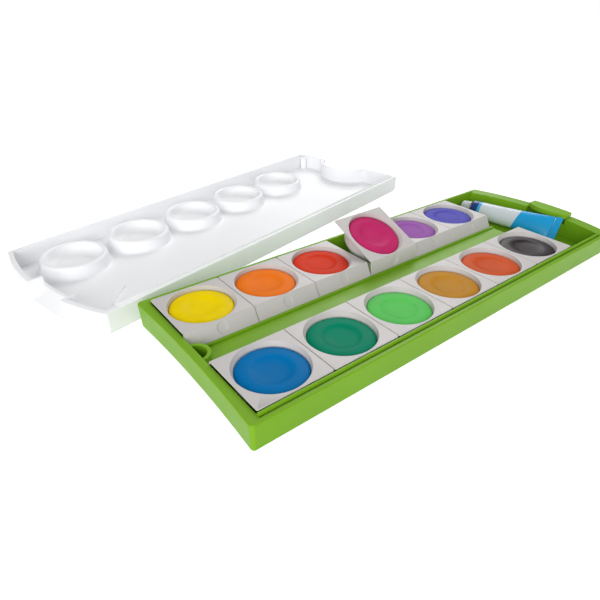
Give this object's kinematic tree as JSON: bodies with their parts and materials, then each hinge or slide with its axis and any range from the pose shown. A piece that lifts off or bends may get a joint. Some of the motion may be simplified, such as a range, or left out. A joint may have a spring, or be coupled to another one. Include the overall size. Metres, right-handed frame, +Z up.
{
  "type": "gouache paint set box",
  "caption": "Slim moulded paint box with two rows of round paint pans that tip out, a tube of opaque white beside them, a press clasp and a lift-off lid that is a mixing palette.",
  "frame": {"origin": "centre of the tray's flat underside", "axes": "+X along the tray towards the end with the tube and the clasp, +Y to the back where the lid lies, +Z up"},
  "size_m": [0.3069, 0.2507, 0.029],
  "materials": {
    "tray_plastic": "lime green moulded plastic, soft gloss",
    "clasp_plastic": "the tray's green, a little lighter where it is thin",
    "lid_plastic": "white moulded plastic, soft gloss",
    "pan_plastic": "light warm grey moulded plastic, satin",
    "tube_print": "soft metal tube with plain printed bands of white, light blue and dark blue",
    "white_paint": "opaque white paint paste",
    "nozzle_plastic": "white plastic",
    "cap_plastic": "light grey plastic, finely fluted",
    "paint_yellow": "pressed gouache tablet, matt with a faint sheen",
    "paint_orange": "pressed gouache tablet, matt with a faint sheen",
    "paint_red": "pressed gouache tablet, matt with a faint sheen",
    "paint_magenta": "pressed gouache tablet, matt with a faint sheen",
    "paint_violet": "pressed gouache tablet, matt with a faint sheen",
    "paint_blue_violet": "pressed gouache tablet, matt with a faint sheen",
    "paint_blue": "pressed gouache tablet, matt with a faint sheen",
    "paint_turquoise": "pressed gouache tablet, matt with a faint sheen",
    "paint_light_green": "pressed gouache tablet, matt with a faint sheen",
    "paint_ochre": "pressed gouache tablet, matt with a faint sheen",
    "paint_sienna": "pressed gouache tablet, matt with a faint sheen",
    "paint_black": "pressed gouache tablet, matt with a faint sheen"
  },
  "bodies": {
    "tray": {"tray": "tray_plastic"},
    "clasp": {"clasp": "clasp_plastic"},
    "lid": {"lid": "lid_plastic"},
    "pan_yellow": {"pan_yellow": "pan_plastic", "paint_yellow": "paint_yellow"},
    "pan_orange": {"pan_orange": "pan_plastic", "paint_orange": "paint_orange"},
    "pan_red": {"pan_red": "pan_plastic", "paint_red": "paint_red"},
    "pan_magenta": {"pan_magenta": "pan_plastic", "paint_magenta": "paint_magenta"},
    "pan_violet": {"pan_violet": "pan_plastic", "paint_violet": "paint_violet"},
    "pan_blue_violet": {"pan_blue_violet": "pan_plastic", "paint_blue_violet": "paint_blue_violet"},
    "pan_blue": {"pan_blue": "pan_plastic", "paint_blue": "paint_blue"},
    "pan_turquoise": {"pan_turquoise": "pan_plastic", "paint_turquoise": "paint_turquoise"},
    "pan_light_green": {"pan_light_green": "pan_plastic", "paint_light_green": "paint_light_green"},
    "pan_ochre": {"pan_ochre": "pan_plastic", "paint_ochre": "paint_ochre"},
    "pan_sienna": {"pan_sienna": "pan_plastic", "paint_sienna": "paint_sienna"},
    "pan_black": {"pan_black": "pan_plastic", "paint_black": "paint_black"},
    "tube": {"tube_sleeve": "tube_print", "tube_paint": "white_paint", "tube_nozzle": "nozzle_plastic"},
    "tube_cap": {"tube_cap": "cap_plastic"}
  },
  "joints": [
    {"name": "yellow_pan_tip", "type": "hinge", "parent": "tray", "child": "pan_yellow", "pos_m": [-0.11175, 0.0077, 0.0081], "axis": [1, 0, 0], "range_deg": [0, 35]},
    {"name": "orange_pan_tip", "type": "hinge", "parent": "tray", "child": "pan_orange", "pos_m": [-0.07575, 0.0077, 0.0081], "axis": [1, 0, 0], "range_deg": [0, 35]},
    {"name": "red_pan_tip", "type": "hinge", "parent": "tray", "child": "pan_red", "pos_m": [-0.03975, 0.0077, 0.0081], "axis": [1, 0, 0], "range_deg": [0, 35]},
    {"name": "magenta_pan_tip", "type": "hinge", "parent": "tray", "child": "pan_magenta", "pos_m": [-0.00375, 0.0077, 0.0081], "axis": [1, 0, 0], "range_deg": [-23.4, 11.6]},
    {"name": "violet_pan_tip", "type": "hinge", "parent": "tray", "child": "pan_violet", "pos_m": [0.03225, 0.0077, 0.0081], "axis": [1, 0, 0], "range_deg": [0, 35]},
    {"name": "blue_violet_pan_tip", "type": "hinge", "parent": "tray", "child": "pan_blue_violet", "pos_m": [0.06825, 0.0077, 0.0081], "axis": [1, 0, 0], "range_deg": [0, 35]},
    {"name": "blue_pan_tip", "type": "hinge", "parent": "tray", "child": "pan_blue", "pos_m": [-0.11175, -0.0077, 0.0081], "axis": [-1, 0, 0], "range_deg": [0, 35]},
    {"name": "turquoise_pan_tip", "type": "hinge", "parent": "tray", "child": "pan_turquoise", "pos_m": [-0.07575, -0.0077, 0.0081], "axis": [-1, 0, 0], "range_deg": [0, 35]},
    {"name": "light_green_pan_tip", "type": "hinge", "parent": "tray", "child": "pan_light_green", "pos_m": [-0.03975, -0.0077, 0.0081], "axis": [-1, 0, 0], "range_deg": [0, 35]},
    {"name": "ochre_pan_tip", "type": "hinge", "parent": "tray", "child": "pan_ochre", "pos_m": [-0.00375, -0.0077, 0.0081], "axis": [-1, 0, 0], "range_deg": [0, 35]},
    {"name": "sienna_pan_tip", "type": "hinge", "parent": "tray", "child": "pan_sienna", "pos_m": [0.03225, -0.0077, 0.0081], "axis": [-1, 0, 0], "range_deg": [0, 35]},
    {"name": "black_pan_tip", "type": "hinge", "parent": "tray", "child": "pan_black", "pos_m": [0.06825, -0.0077, 0.0081], "axis": [-1, 0, 0], "range_deg": [0, 35]},
    {"name": "clasp_flex", "type": "hinge", "parent": "tray", "child": "clasp", "pos_m": [0.13329, -0.0075, 0.002], "axis": [0, -1, 0], "range_deg": [0, 6], "stiffness_Nm_per_rad": 0.3},
    {"name": "lid_lift", "type": "slide", "parent": "tray", "child": "lid", "axis": [0, 0, 1], "range_m": [0, 0.1]},
    {"name": "tube_lift", "type": "slide", "parent": "tray", "child": "tube", "axis": [0, 0, 1], "range_m": [0, 0.06]},
    {"name": "tube_cap_turn", "type": "hinge", "parent": "tube", "child": "tube_cap", "pos_m": [0.1049, 0.03875, 0.0076], "axis": [-0.1702, 0.9852, -0.0191], "continuous": true}
  ]
}
